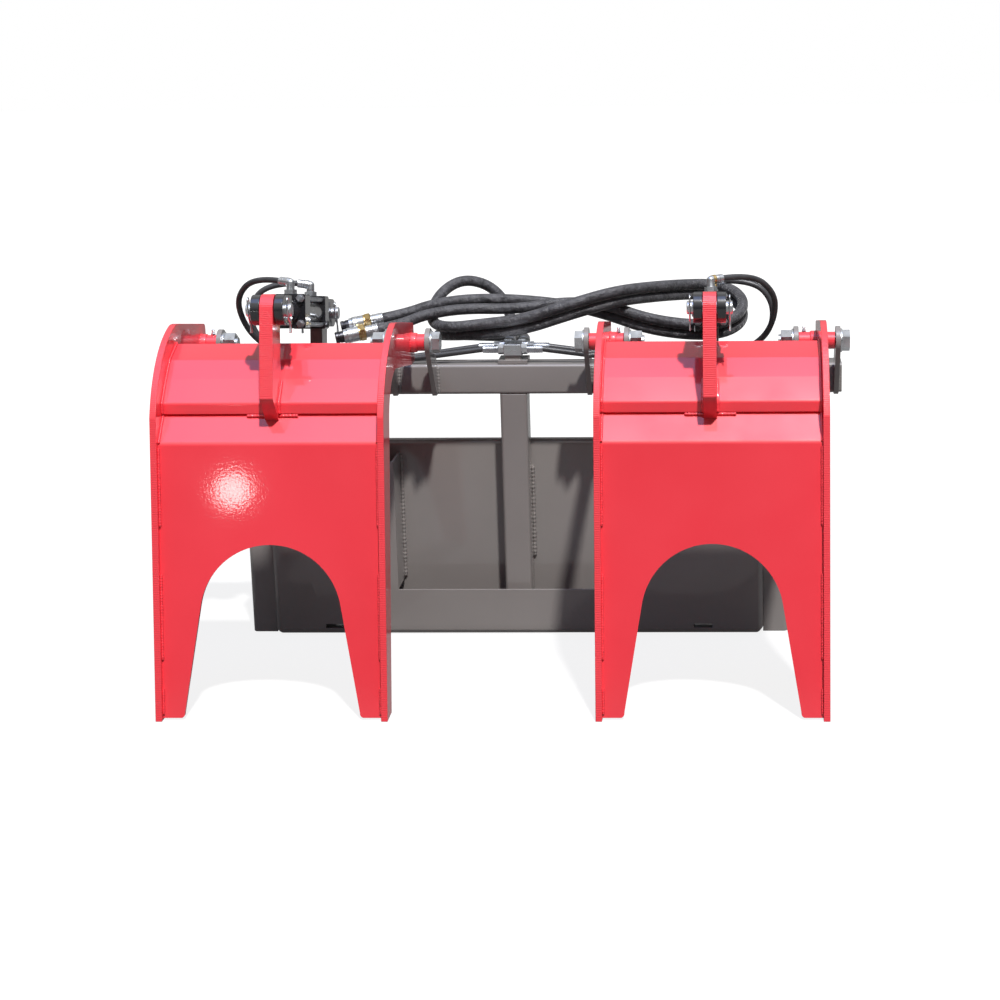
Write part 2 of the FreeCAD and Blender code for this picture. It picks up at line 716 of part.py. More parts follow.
def build_cylinder(side, word):
    """Barrel, caps, tie rods, ports, piston, rod and clevis of one cylinder."""
    half = cap_size / 2
    cap = square_block(cap_size, cap_start, cap_length)
    base = clevis(throat_depth, cap_start, 1).fuse(cap).removeSplitter()
    write(f"{word}_base_cap", placed(base, side))
    barrel = Part.makeCylinder(barrel_radius, barrel_length, V(0, 0, barrel_start))
    barrel = barrel.cut(Part.makeCylinder(bore_radius, barrel_length, V(0, 0, barrel_start)))
    write(f"{word}_barrel", placed(barrel, side))
    gland = square_block(cap_size, gland_start, gland_length)
    gland = gland.fuse(Part.makeCylinder(gland_boss_radius, gland_boss, V(0, 0, gland_end)))
    gland = gland.cut(Part.makeCylinder(rod_radius + rod_fit, gland_length + gland_boss + 2,
                                        V(0, 0, gland_start - 1)))
    tie_rods = []
    for sx in (-1, 1):
        for sy in (-1, 1):
            spot = V(sx * tie_rod_offset, sy * tie_rod_offset, barrel_start)
            length = barrel_length + gland_length + tie_nut_height + tie_rod_end
            stud = Part.makeCylinder(tie_rod_radius, length, spot)
            gland = gland.cut(Part.makeCylinder(tie_rod_radius, length, spot))
            seat = V(spot.x, spot.y, gland_end)
            tie_rods.append(stud.fuse(prism(tie_nut_across, tie_nut_height, seat, V(0, 0, 1))))
    write(f"{word}_gland", placed(gland.removeSplitter(), side))
    write(f"{word}_tie_rods", *[placed(t.removeSplitter(), side) for t in tie_rods])

    ports = []
    ends = []
    for along, back in ((gland_start + gland_length / 2, front_ferrule_back),
                        (cap_start + cap_length / 2, rear_ferrule_back)):
        seat = on_cylinder(side, along, half)
        up = on_cylinder(side, 0, 1) - on_cylinder(side, 0, 0)
        towards_base = on_cylinder(side, 0, 0) - on_cylinder(side, 1, 0)
        bend_point = seat + up * (port_hex_height + port_stem_height)
        level = math.cos(ferrule_rise)
        way = V(side * level * math.cos(back), 0, 0) + towards_base * (level * math.sin(back))
        way = way + up * math.sin(ferrule_rise)
        piece = prism(port_hex_across, port_hex_height, seat, up)
        stem_foot = seat + up * port_hex_height
        piece = piece.fuse(Part.makeCylinder(port_stem_radius, port_stem_height, stem_foot, up))
        piece = piece.fuse(Part.makeSphere(port_stem_radius, bend_point))
        piece = piece.fuse(Part.makeCylinder(ferrule_radius, ferrule_length, bend_point, way))
        ports.append(piece)
        ends.append(bend_point + way * ferrule_length)
    write(f"{word}_ports", *ports)

    piston_end = gland_start - piston_back
    rod_end = pin_distance - rod_clevis_depth
    rod = Part.makeCylinder(rod_radius, rod_end - piston_end, V(0, 0, piston_end))
    write(f"{word}_rod", placed(rod, side))
    piston = Part.makeCylinder(bore_radius - piston_fit, piston_length, V(0, 0, piston_end - piston_length))
    write(f"{word}_piston", placed(piston, side))
    end = clevis(rod_throat_depth, rod_clevis_depth, -1)
    end.Placement = FreeCAD.Placement(V(0, 0, pin_distance), FreeCAD.Rotation())
    write(f"{word}_rod_clevis", placed(end, side))
    write(f"{word}_rod_pin", clevis_pin(side, *rod_point))
    return ports, ends


def rib(x0):
    """Side plate of a jaw, from behind the hinge over the nose to the tip of the tine."""
    tip = (tip_reach, -pivot_z)
    outline = outline_face(
        jaw_side(x0), heel_top, (heel_round_middle, heel_round_end), crest, nose_start,
        (nose_middle, nose_end), tip, (tip_reach - tine_end_width, -pivot_z), throat_front,
        (throat_middle, throat_back), belly, heel_bottom, heel_low_start, (heel_low_middle, heel_low_end))
    plate = extrude_x(outline, x0, x0 + rib_thickness)
    return plate.cut(rod_x(x0 - 1, x0 + rib_thickness + 1, pivot_y, pivot_z, bushing_radius))


def build_jaw(side, word):
    """Ribs, bent plates, lug and bushings of one jaw, all welded together."""
    spans = {}
    inner = side * jaw_inner_x
    outer = side * (jaw_outer_x - rib_thickness)
    spans["inner"] = min(inner, inner + side * rib_thickness)
    spans["outer"] = min(outer, outer + side * rib_thickness)
    for name, x0 in spans.items():
        write(f"{word}_{name}_rib", rib(x0))
    x_from = min(spans.values()) + rib_thickness
    x_to = max(spans.values())

    upper_face = bent_sheet(jaw_side(x_from), upper_plate_path, upper_thickness, upper_bend)
    upper = extrude_x(upper_face, x_from, x_to)
    write(f"{word}_upper_plate", upper)

    lean = (tip_reach - nose_end[0]) / (pivot_z + nose_end[1])
    recess = lower_recess / math.cos(math.atan(lean))
    foot_b = lower_bottom_z - pivot_z
    foot_a = nose_end[0] + lean * (nose_end[1] - foot_b) - recess
    lower_face = bent_sheet(jaw_side(x_from), ((foot_a, foot_b), band_kink, band_top), lower_thickness,
                            lower_bend)
    lower = extrude_x(lower_face, x_from, x_to)
    centre_z = arch_top_z - arch_radius
    middle_x = side * jaw_centre
    touch = (arch_radius * math.cos(arch_slant), arch_radius * math.sin(arch_slant))
    flare = touch[0] + (centre_z + touch[1] - lower_bottom_z) * math.tan(arch_slant)
    corner_in = leg_corner * leg_corner_in
    corner_low = leg_corner * leg_corner_low
    wide = flare + leg_corner
    arch = outline_face(
        front_view(pivot_y - tip_reach - tine_end_width), (middle_x - touch[0], centre_z + touch[1]),
        ((middle_x, arch_top_z), (middle_x + touch[0], centre_z + touch[1])),
        (middle_x + flare - corner_in, lower_bottom_z + leg_corner),
        ((middle_x + flare + corner_in, lower_bottom_z + corner_low), (middle_x + wide, lower_bottom_z)),
        (middle_x + wide, -leg_corner), (middle_x - wide, -leg_corner), (middle_x - wide, lower_bottom_z),
        ((middle_x - flare - corner_in, lower_bottom_z + corner_low),
         (middle_x - flare + corner_in, lower_bottom_z + leg_corner)))
    lower = lower.cut(arch.extrude(V(0, tip_reach, 0)))
    write(f"{word}_lower_plate", lower)

    x0 = side * cylinder_x - lug_thickness / 2
    heel_touch = tangent_point(rod_pin, lug_radius, lug_heel, 1)
    foot_touch = tangent_point(rod_pin, lug_radius, lug_foot, -1)
    crown = (rod_pin[0], rod_pin[1] + lug_radius)
    face = outline_face(jaw_side(x0), lug_heel, heel_touch, (crown, foot_touch), lug_foot, *lug_back)
    lug = extrude_x(face, x0, x0 + lug_thickness).cut(upper).cut(lower)
    slot = []
    for shift_a, shift_b in ((0.0, 0.0), slot_shift):
        slot.append(rod_x(x0 - 1, x0 + lug_thickness + 1, pivot_y - rod_pin[0] - shift_a,
                          pivot_z + rod_pin[1] + shift_b, pin_radius + slot_clearance))
    web = slot_web(x0)
    lug = lug.cut(slot[0].fuse(slot[1]).fuse(web))
    write(f"{word}_lug", max(lug.Solids, key=lambda s: s.Volume))

    bushings = []
    for head_x, nut_x in ear_pairs:
        low = min(head_x, nut_x) + ear_thickness / 2 + side_gap
        high = max(head_x, nut_x) - ear_thickness / 2 - side_gap
        pipe = rod_x(side * low, side * high, pivot_y, pivot_z, bushing_radius)
        bushings.append(pipe.cut(rod_x(side * low, side * high, pivot_y, pivot_z, pin_radius + pin_fit)))
    write(f"{word}_bushings", *bushings)


def slot_web(x0):
    """The straight part of the oblong hole in a lug."""
    y = pivot_y - rod_pin[0]
    z = pivot_z + rod_pin[1]
    dy = -slot_shift[0]
    dz = slot_shift[1]
    length = math.hypot(dy, dz)
    half = pin_radius + slot_clearance
    ny = -dz / length * half
    nz = dy / length * half
    face = outline_face(across(x0 - 1), (y + ny, z + nz), (y + dy + ny, z + dz + nz),
                        (y + dy - ny, z + dz - nz), (y - ny, z - nz))
    return face.extrude(V(lug_thickness + 2, 0, 0))


for side, word in ((-1, "left"), (1, "right")):
    build_jaw(side, word)
    cylinder_ports, port_ends = build_cylinder(side, word)
    for name, route, port, end in zip(("front", "rear"), (front_hose_route, rear_hose_route),
                                      cylinder_ports, port_ends):
        points = [manifold_ports[(side, name)]] + [V(side * x, y, z) for x, y, z in route] + [end]
        hose(f"{word}_{name}_hose", points, cylinder_hose_radius, (seats[(side, name)], port))

# supply hoses: from the manifold out over the right-hand side and back to the left, side by side
inlet_end_y = manifold_back + inlet_hex + inlet_ferrule
coupler_ends = []
for name, side, start, beside, end in (
        ("supply_hose_front", 1, supply_front_start, (0.0, 0.0, 0.0), supply_front_end),
        ("supply_hose_rear", -1, supply_rear_start, supply_beside, supply_rear_end)):
    route = [V(side * inlet_x, inlet_end_y, manifold_mid_z)] + [V(*p) for p in start]
    route += [V(*p) + V(*beside) for p in supply_turn] + [V(*p) for p in end]
    hose(name, route, supply_radius, (seats[(side, "inlet")],))
    coupler_ends.append((route[-1], (route[-1] - route[-2]).normalize()))

# quick couplers on the free ends: crimp, hexagon, body, and a nose with its locking collar
for name, (start, way) in zip(("coupler_front", "coupler_rear"), coupler_ends):
    piece = Part.makeCylinder(coupler_ferrule_radius, coupler_ferrule, start, way)
    reach = coupler_ferrule
    piece = piece.fuse(prism(coupler_hex_across, coupler_hex, start + way * reach, way))
    reach += coupler_hex
    piece = piece.fuse(Part.makeCylinder(coupler_body_radius, coupler_body, start + way * reach, way))
    reach += coupler_body
    piece = piece.fuse(Part.makeCylinder(coupler_nose_radius, coupler_nose, start + way * reach, way))
    write(name, piece.removeSplitter())
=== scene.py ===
import json
import math

import bpy
from mathutils import Matrix, Vector


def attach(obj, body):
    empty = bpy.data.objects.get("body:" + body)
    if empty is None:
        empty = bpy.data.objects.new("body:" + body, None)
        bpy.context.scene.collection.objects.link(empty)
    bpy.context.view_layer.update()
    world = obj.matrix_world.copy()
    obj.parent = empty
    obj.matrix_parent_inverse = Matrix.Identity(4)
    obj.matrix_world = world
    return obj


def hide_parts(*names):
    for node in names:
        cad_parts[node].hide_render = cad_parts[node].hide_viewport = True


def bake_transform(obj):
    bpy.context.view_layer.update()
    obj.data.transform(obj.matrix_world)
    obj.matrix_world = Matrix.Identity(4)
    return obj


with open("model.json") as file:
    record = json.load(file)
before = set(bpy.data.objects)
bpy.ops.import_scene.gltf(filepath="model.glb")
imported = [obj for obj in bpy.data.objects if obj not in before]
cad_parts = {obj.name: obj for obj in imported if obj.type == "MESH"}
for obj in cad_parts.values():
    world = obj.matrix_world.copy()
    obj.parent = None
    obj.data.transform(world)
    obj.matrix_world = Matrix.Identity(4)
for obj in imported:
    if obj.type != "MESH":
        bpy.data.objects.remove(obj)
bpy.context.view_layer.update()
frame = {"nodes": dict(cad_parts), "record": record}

# Camera and studio. The camera stands to the right of the middle, looks slightly down and is turned
# a little to the left. A far key light with soft edges comes down from the front right, a broad soft
# box hangs overhead, and a low round lamp at the front left puts the bright spot on the left jaw.
camera_place = (0.4652, -4.2818, 1.4213)
camera_yaw = math.radians(1.71)
camera_pitch = math.radians(13.50)
camera_roll = math.radians(-0.62)
camera_lens = 74.27
camera_shift = (-0.176, -0.056)
camera_data = bpy.data.cameras.new("camera")
camera_data.lens = camera_lens
camera_data.sensor_width = 36.0
camera_data.shift_x, camera_data.shift_y = camera_shift
camera = bpy.data.objects.new("camera", camera_data)
camera.matrix_world = (Matrix.Translation(camera_place) @ Matrix.Rotation(camera_yaw, 4, "Z")
                       @ Matrix.Rotation(math.pi / 2 - camera_pitch, 4, "X")
                       @ Matrix.Rotation(camera_roll, 4, "Z"))
bpy.context.scene.collection.objects.link(camera)
bpy.context.scene.camera = camera
bpy.context.scene.view_settings.view_transform = "Standard"


def lamp(name, shape, place, target, size, power, colour=(1.0, 1.0, 1.0)):
    """Area lamp that faces a point."""
    data = bpy.data.lights.new(name, "AREA")
    data.shape = shape
    data.size = size[0]
    data.size_y = size[-1]
    data.energy = power
    data.color = colour
    light = bpy.data.objects.new(name, data)
    light.location = place
    light.rotation_euler = (Vector(target) - Vector(place)).to_track_quat("-Z", "Y").to_euler()
    bpy.context.scene.collection.objects.link(light)


key_data = bpy.data.lights.new("key_light", "SUN")
key_data.energy = 4.3
key_data.angle = math.radians(2.5)
key_data.color = (1.0, 0.985, 0.965)
key_light = bpy.data.objects.new("key_light", key_data)
key_light.rotation_euler = Vector((-0.16, 0.44, -0.883)).to_track_quat("-Z", "Y").to_euler()
bpy.context.scene.collection.objects.link(key_light)
lamp("overhead_box", "RECTANGLE", (0.0, -0.8, 3.1), (0.0, -0.45, 0.4), (3.4, 1.5), 22.0, (0.26, 0.43, 1.0))
lamp("low_lamp", "DISK", (-1.45, -4.43, 0.80), (-0.49, -0.55, 0.42), (0.13,), 0.72, (1.0, 0.97, 0.94))


def wire(material, source, source_socket, target, target_socket):
    material.node_tree.links.new(source.outputs[source_socket], target.inputs[target_socket])


world = bpy.data.worlds.new("studio")
world.use_nodes = True
bpy.context.scene.world = world
tree = world.node_tree
sky = tree.nodes["Background"]
sky.inputs["Color"].default_value = (1.0, 1.0, 1.0, 1.0)
path = tree.nodes.new("ShaderNodeLightPath")
place = tree.nodes.new("ShaderNodeTexCoord")
parts = tree.nodes.new("ShaderNodeSeparateXYZ")
high = tree.nodes.new("ShaderNodeMapRange")
high.inputs["From Min"].default_value = 0.15
high.inputs["From Max"].default_value = 0.60
high.inputs["To Min"].default_value = 0.10
high.inputs["To Max"].default_value = 0.62
mirrored = tree.nodes.new("ShaderNodeMix")
mirrored.inputs["A"].default_value = 0.13
seen = tree.nodes.new("ShaderNodeMix")
seen.inputs["B"].default_value = 1.0
wire(world, place, "Generated", parts, "Vector")
wire(world, parts, "Z", high, "Value")
wire(world, high, "Result", mirrored, "B")
wire(world, path, "Is Glossy Ray", mirrored, "Factor")
wire(world, mirrored, "Result", seen, "A")
wire(world, path, "Is Camera Ray", seen, "Factor")
wire(world, seen, "Result", sky, "Strength")

bpy.ops.object.select_all(action="DESELECT")
bpy.ops.mesh.primitive_plane_add(size=30.0, location=(0.0, 0.0, -0.0004))
floor = bpy.context.object
floor.name = "floor"
floor_paper = bpy.data.materials.new("floor_paper")
floor_paper.use_nodes = True
tree = floor_paper.node_tree
tree.nodes.remove(tree.nodes["Principled BSDF"])
matt = tree.nodes.new("ShaderNodeBsdfDiffuse")
matt.inputs["Color"].default_value = (0.14, 0.14, 0.14, 1.0)
glow = tree.nodes.new("ShaderNodeEmission")
both = tree.nodes.new("ShaderNodeAddShader")
path = tree.nodes.new("ShaderNodeLightPath")
place = tree.nodes.new("ShaderNodeTexCoord")
reach = tree.nodes.new("ShaderNodeVectorMath")
reach.operation = "LENGTH"
far = tree.nodes.new("ShaderNodeMapRange")
far.inputs["From Min"].default_value = 1.0
far.inputs["From Max"].default_value = 3.0
far.inputs["To Min"].default_value = 0.86
far.inputs["To Max"].default_value = 1.0
mirrored = tree.nodes.new("ShaderNodeMath")
mirrored.operation = "MULTIPLY"
mirrored.inputs[1].default_value = 0.15
seen = tree.nodes.new("ShaderNodeMix")
wire(floor_paper, place, "Object", reach, "Vector")
wire(floor_paper, reach, "Value", far, "Value")
wire(floor_paper, path, "Is Glossy Ray", mirrored, 0)
wire(floor_paper, path, "Is Camera Ray", seen, "Factor")
wire(floor_paper, mirrored, "Value", seen, "A")
wire(floor_paper, far, "Result", seen, "B")
wire(floor_paper, seen, "Result", glow, "Strength")
wire(floor_paper, matt, "BSDF", both, 0)
wire(floor_paper, glow, "Emission", both, 1)
wire(floor_paper, both, "Shader", tree.nodes["Material Output"], "Surface")
floor.data.materials.append(floor_paper)


# Coupler plate and gussets. The frame is welded from 8 mm plate and sprayed in a dark grey gloss
# powder coat, which flows out almost like glass and keeps a faint orange peel. Corners are deburred.
def new_material(name, base, roughness, metallic=0.0):
    """Principled material with its plain values set; returns it with its shader and its tree."""
    material = bpy.data.materials.new(name)
    material.use_nodes = True
    shader = material.node_tree.nodes["Principled BSDF"]
    shader.inputs["Base Color"].default_value = (*base, 1.0)
    shader.inputs["Roughness"].default_value = roughness
    shader.inputs["Metallic"].default_value = metallic
    return material, shader, material.node_tree


def noise(material, scale, detail=3.0, stretch=(1.0, 1.0, 1.0)):
    """Noise on the object's own coordinates, drawn out by a stretch along each axis."""
    tree = material.node_tree
    place = tree.nodes.new("ShaderNodeTexCoord")
    spread = tree.nodes.new("ShaderNodeMapping")
    spread.inputs["Scale"].default_value = stretch
    grain = tree.nodes.new("ShaderNodeTexNoise")
    grain.inputs["Scale"].default_value = scale
    grain.inputs["Detail"].default_value = detail
    wire(material, place, "Object", spread, "Vector")
    wire(material, spread, "Vector", grain, "Vector")
    return grain


def vary(material, grain, shader, socket, low, high):
    """A shader value that wanders between two limits with a noise."""
    span = material.node_tree.nodes.new("ShaderNodeMapRange")
    span.inputs["From Min"].default_value = 0.3
    span.inputs["From Max"].default_value = 0.7
    span.inputs["To Min"].default_value = low
    span.inputs["To Max"].default_value = high
    wire(material, grain, "Fac", span, "Value")
    wire(material, span, "Result", shader, socket)


def tint(material, grain, shader, dark, light):
    """Base colour that wanders between two colours with a noise."""
    ramp = material.node_tree.nodes.new("ShaderNodeValToRGB")
    ramp.color_ramp.elements[0].position = 0.3
    ramp.color_ramp.elements[0].color = (*dark, 1.0)
    ramp.color_ramp.elements[1].position = 0.7
    ramp.color_ramp.elements[1].color = (*light, 1.0)
    wire(material, grain, "Fac", ramp, "Fac")
    wire(material, ramp, "Color", shader, "Base Color")


def bump(material, shader, layers):
    """Heights in metres stacked under one shader; each layer is (node, socket, height)."""
    below = None
    for node, socket, height in layers:
        dent = material.node_tree.nodes.new("ShaderNodeBump")
        dent.inputs["Strength"].default_value = 1.0
        dent.inputs["Distance"].default_value = height
        wire(material, node, socket, dent, "Height")
        if below:
            wire(material, below, "Normal", dent, "Normal")
        below = dent
    wire(material, below, "Normal", shader, "Normal")


def powder_coat(name, dark, light, roughness, peel, more_layers=()):
    """Gloss powder coat: slightly uneven colour under a clear skin with orange peel."""
    material, shader, tree = new_material(name, light, roughness)
    shader.inputs["Coat Weight"].default_value = 1.0
    shader.inputs["Coat Roughness"].default_value = 0.05
    shader.inputs["Coat IOR"].default_value = 1.55
    tint(material, noise(material, 3.0), shader, dark, light)
    vary(material, noise(material, 9.0, 6.0), shader, "Roughness", roughness * 0.85, roughness * 1.2)
    layers = [(noise(material, 230.0, 1.0), "Fac", peel)]
    layers += [(make(material), "Value", height) for make, height in more_layers]
    bump(material, shader, layers)
    dent = [node for node in tree.nodes if node.bl_idname == "ShaderNodeBump"][-1]
    wire(material, dent, "Normal", shader, "Coat Normal")
    return material


frame_paint = powder_coat("frame_paint", (0.222, 0.202, 0.192), (0.258, 0.238, 0.228), 0.42, 0.00005)
body_of_node = {n: b for b, nodes in frame["record"]["behaviour"]["bodies"].items() for n in nodes}
sides = (("left", -1), ("right", 1))


def select_only(*pieces):
    bpy.ops.object.select_all(action="DESELECT")
    for piece in pieces:
        piece.select_set(True)
    bpy.context.view_layer.objects.active = pieces[0]


def paint(piece, material):
    piece.data.materials.clear()
    piece.data.materials.append(material)


def eased(node, material, edge, segments=2, trim=None):
    """A copy of a frame node with merged faces and rounded corners, which stands for the node."""
    piece = bpy.data.objects.new(f"{node}_finished", frame["nodes"][node].data.copy())
    bpy.context.scene.collection.objects.link(piece)
    select_only(piece)
    bpy.ops.object.mode_set(mode="EDIT")
    bpy.ops.mesh.select_all(action="SELECT")
    bpy.ops.mesh.remove_doubles(threshold=0.00002)
    bpy.ops.mesh.dissolve_limited(angle_limit=math.radians(0.4))
    if trim:
        bpy.ops.mesh.select_all(action="SELECT")
        bpy.ops.mesh.bisect(plane_co=trim[0], plane_no=trim[1], use_fill=True, clear_outer=True)
    bpy.ops.object.mode_set(mode="OBJECT")
    bpy.ops.object.shade_smooth_by_angle(angle=math.radians(28.0))
    if edge:
        bpy.ops.object.modifier_add(type="BEVEL")
        rounding = piece.modifiers[-1]
        rounding.width = edge
        rounding.segments = segments
        rounding.limit_method = "ANGLE"
        rounding.angle_limit = math.radians(28.0)
        rounding.harden_normals = True
        bpy.ops.object.modifier_apply(modifier=rounding.name)
    paint(piece, material)
    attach(piece, body_of_node[node])
    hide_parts(node)
    return piece


eased("coupler_plate", frame_paint, 0.0012)
eased("coupler_gussets", frame_paint, 0.0012)


# Front panel. A shallow folded box of 5 mm sheet with a window, its side walls welded to the coupler
# plate. The weld beads run down both window returns and beside the centre post.
def weld_beads(name, paths, size, body, material):
    """Rippled weld metal along one or more lines, half sunk in the corners that it fills."""
    bpy.ops.object.select_all(action="DESELECT")
    curve = bpy.data.curves.new(name, "CURVE")
    curve.dimensions = "3D"
    curve.bevel_depth = size
    curve.bevel_resolution = 1
    curve.use_fill_caps = True
    for number, corners in enumerate(paths):
        corners = [Vector(c) for c in corners]
        spots = []
        for a, b in zip(corners, corners[1:]):
            steps = max(1, round((b - a).length / (size * 0.5)))
            spots += [a.lerp(b, i / steps) for i in range(steps)]
        spots.append(corners[-1])
        spline = curve.splines.new("POLY")
        spline.points.add(len(spots) - 1)
        for i, (point, spot) in enumerate(zip(spline.points, spots)):
            point.co = (*spot, 1.0)
            ripple = (1.0, 0.94, 0.74, 0.88)[i % 4]
            at_end = 0.72 if i in (0, len(spots) - 1) else 1.0
            point.radius = ripple * at_end * (1.0 + 0.07 * math.sin(i * 0.37 + number * 1.9))
    piece = bpy.data.objects.new(name, curve)
    bpy.context.scene.collection.objects.link(piece)
    select_only(piece)
    bpy.ops.object.convert(target="MESH")
    bpy.ops.object.shade_smooth_by_angle(angle=math.radians(60.0))
    paint(piece, material)
    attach(piece, body)
    return piece


eased("front_panel", frame_paint, 0.0012)
return_x = 0.2540
post_edge_x = 0.0286
plate_face_y = -0.008
frame_welds = []
for side in (-1, 1):
    frame_welds.append([(side * (return_x - 0.002), plate_face_y - 0.002, z) for z in (0.104, 0.374)])
    frame_welds.append([(side * (post_edge_x + 0.002), plate_face_y - 0.002, z) for z in (0.150, 0.350)])
weld_beads("frame_welds", frame_welds, 0.0042, "frame", frame_paint)

# End wings, posts, top tube and caps. The wings are folded sheet; the posts and the tube are square
# hollow section with rounded corners, and the caps are welded on with a small set-back.
for node in ("end_wings", "centre_post", "side_posts", "top_tube", "tube_end_caps"):
    eased(node, frame_paint, 0.0010)

# Hinge ears. Eight 10 mm plates are welded to the front of the tube, each with a bead on both faces.
eased("hinge_ears", frame_paint, 0.0012)
ear_places = (0.162, 0.244, 0.588, 0.673)
ear_half = 0.005
tube_front_y = -0.0715
ear_welds = []
for side in (-1, 1):
    for x in ear_places:
        for face in (-1, 1):
            line_x = side * x + face * (ear_half + 0.0015)
            ear_welds.append([(line_x, tube_front_y - 0.0015, z) for z in (0.524, 0.576)])
weld_beads("ear_welds", ear_welds, 0.0036, "frame", frame_paint)


# Hinge bolts, nuts and washers. Inch bolts with turned washers, all zinc plated: bright, with a faint
# grey cloud and fine tool marks. Threads show on the short ends past the nuts.
def plated(name, dark, light, roughness, grain_scale, grain_height=0.000003):
    """Bare or plated metal with a cloudy colour and fine tool marks."""
    material, shader, tree = new_material(name, light, roughness, 1.0)
    tint(material, noise(material, 38.0, 2.0), shader, dark, light)
    vary(material, noise(material, 70.0, 2.0), shader, "Roughness", roughness * 0.8, roughness * 1.25)
    bump(material, shader, [(noise(material, grain_scale, 2.0), "Fac", grain_height)])
    return material


zinc = plated("zinc", (0.62, 0.64, 0.66), (0.80, 0.82, 0.84), 0.30, 900.0)
dull_steel = plated("dull_steel", (0.36, 0.37, 0.39), (0.56, 0.58, 0.61), 0.34, 700.0)
for node in ("hinge_nuts", "hinge_washers"):
    eased(node, zinc, 0.0006)
eased("hinge_bolts", zinc, 0.0008)


def turned(name, place, way, rings, facets=28):
    """Lathe-turned piece: a disc at the first ring, pushed out along its axis from ring to ring."""
    place = Vector(place)
    way = Vector(way).normalized()
    bpy.ops.object.select_all(action="DESELECT")
    bpy.ops.mesh.primitive_circle_add(vertices=facets, radius=rings[0][1], fill_type="NGON",
                                      location=place + way * rings[0][0],
                                      rotation=way.to_track_quat("Z", "Y").to_euler())
    piece = bpy.context.object
    piece.name = name
    bpy.ops.object.mode_set(mode="EDIT")
    bpy.ops.mesh.select_all(action="SELECT")
    for (near, before), (far, after) in zip(rings, rings[1:]):
        bpy.ops.mesh.extrude_region_move(TRANSFORM_OT_translate={"value": way * (far - near)})
        scale = after / before
        bpy.ops.transform.resize(value=(scale, scale, scale), center_override=place + way * far)
    bpy.ops.mesh.select_all(action="SELECT")
    bpy.ops.mesh.normals_make_consistent(inside=False)
    bpy.ops.object.mode_set(mode="OBJECT")
    bpy.ops.object.transform_apply(location=True, rotation=True, scale=True)
    bpy.ops.object.shade_smooth_by_angle(angle=math.radians(35.0))
    return piece


def joined(name, pieces, material, body):
    """Several like pieces made one, which rides with one body."""
    select_only(*pieces)
    if len(pieces) > 1:
        bpy.ops.object.join()
    piece = bpy.context.object
    piece.name = name
    piece.data.name = name
    paint(piece, material)
    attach(piece, body)
    return piece


pivot_y, pivot_z = -0.148, 0.644
thread_pitch = 0.0016
thread_root, thread_crest = 0.0118, 0.0132
washer_face = 0.0035
nut_height = 0.0222
threads = []
for side in (-1, 1):
    for nut_face_x, out in ((0.249, 1), (0.583, -1)):
        first = side * (nut_face_x + out * (washer_face + nut_height))
        crests = [(0.0, thread_root)]
        for i in range(3):
            crests.append(((i + 0.15) * thread_pitch, thread_root))
            crests.append(((i + 0.50) * thread_pitch, thread_crest))
            crests.append(((i + 0.85) * thread_pitch, thread_root))
        threads.append(turned("thread", (first, pivot_y, pivot_z), (side * out, 0, 0), crests))
joined("bolt_threads", threads, dull_steel, "frame")

# Cylinder brackets and base pins. A thick lug on the back of the tube carries each cylinder on a 1 inch
# pin, and a spring hairpin clip of 3 mm wire keeps the pin at both ends.
eased("cylinder_brackets", frame_paint, 0.0015)
eased("base_pins", zinc, 0.0005)
cylinder_x = 0.417
bracket_side = 0.0142
tube_top_z = 0.5832
bracket_seams = [[(side * cylinder_x + face * bracket_side, y, tube_top_z) for y in (-0.036, -0.010)]
                 for side in (-1, 1) for face in (-1, 1)]
weld_beads("bracket_welds", bracket_seams, 0.0040, "frame", frame_paint)
pin_half = 0.0435
clip_inset = 0.0060
clip_wire = 0.0015
clip_line = (
    (-0.046, 0.0), (-0.028, 0.0), (-0.010, 0.0), (0.008, 0.0), (0.017, 0.0), (0.0235, 0.0010),
    (0.0275, 0.0060), (0.0250, 0.0120), (0.0190, 0.0135), (0.0140, 0.0125), (0.0080, 0.0150),
    (0.0000, 0.0160), (-0.0090, 0.0150), (-0.0165, 0.0105), (-0.0225, 0.0045), (-0.0280, 0.0025),
    (-0.0345, 0.0050), (-0.0420, 0.0110))


def hairpin_clips(name, centres, lean, body):
    """Hairpin clips across pin ends; lean turns the straight leg forward from hanging straight down."""
    curve = bpy.data.curves.new(name, "CURVE")
    curve.dimensions = "3D"
    curve.bevel_depth = clip_wire
    curve.bevel_resolution = 2
    curve.resolution_u = 4
    curve.use_fill_caps = True
    for x, y, z in centres:
        spline = curve.splines.new("NURBS")
        spline.points.add(len(clip_line) - 1)
        for point, (down, out) in zip(spline.points, clip_line):
            up_z = down * math.cos(lean) + out * math.sin(lean)
            to_y = down * math.sin(lean) - out * math.cos(lean)
            point.co = (x, y + to_y, z + up_z, 1.0)
        spline.order_u = 3
        spline.use_endpoint_u = True
    piece = bpy.data.objects.new(name, curve)
    bpy.context.scene.collection.objects.link(piece)
    select_only(piece)
    bpy.ops.object.convert(target="MESH")
    bpy.ops.object.shade_smooth_by_angle(angle=math.radians(50.0))
    paint(piece, zinc)
    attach(piece, body)


base_pin_y, base_pin_z = 0.0095, 0.679
base_clip_lean = math.radians(-14.0)
hairpin_clips("base_pin_clips",
              [(side * cylinder_x + end * (pin_half - clip_inset), base_pin_y, base_pin_z)
               for side in (-1, 1) for end in (-1, 1)], base_clip_lean, "frame")

# Manifold. A tee block of plated steel stands on a painted stand on the tube. Each port has a hexagon
# and a crimped hose ferrule with rolled grooves.
eased("manifold_stand", frame_paint, 0.0010)
eased("manifold_block", zinc, 0.0010)
eased("manifold_fittings", zinc, 0.0006)
crimp_pitch = 0.0044


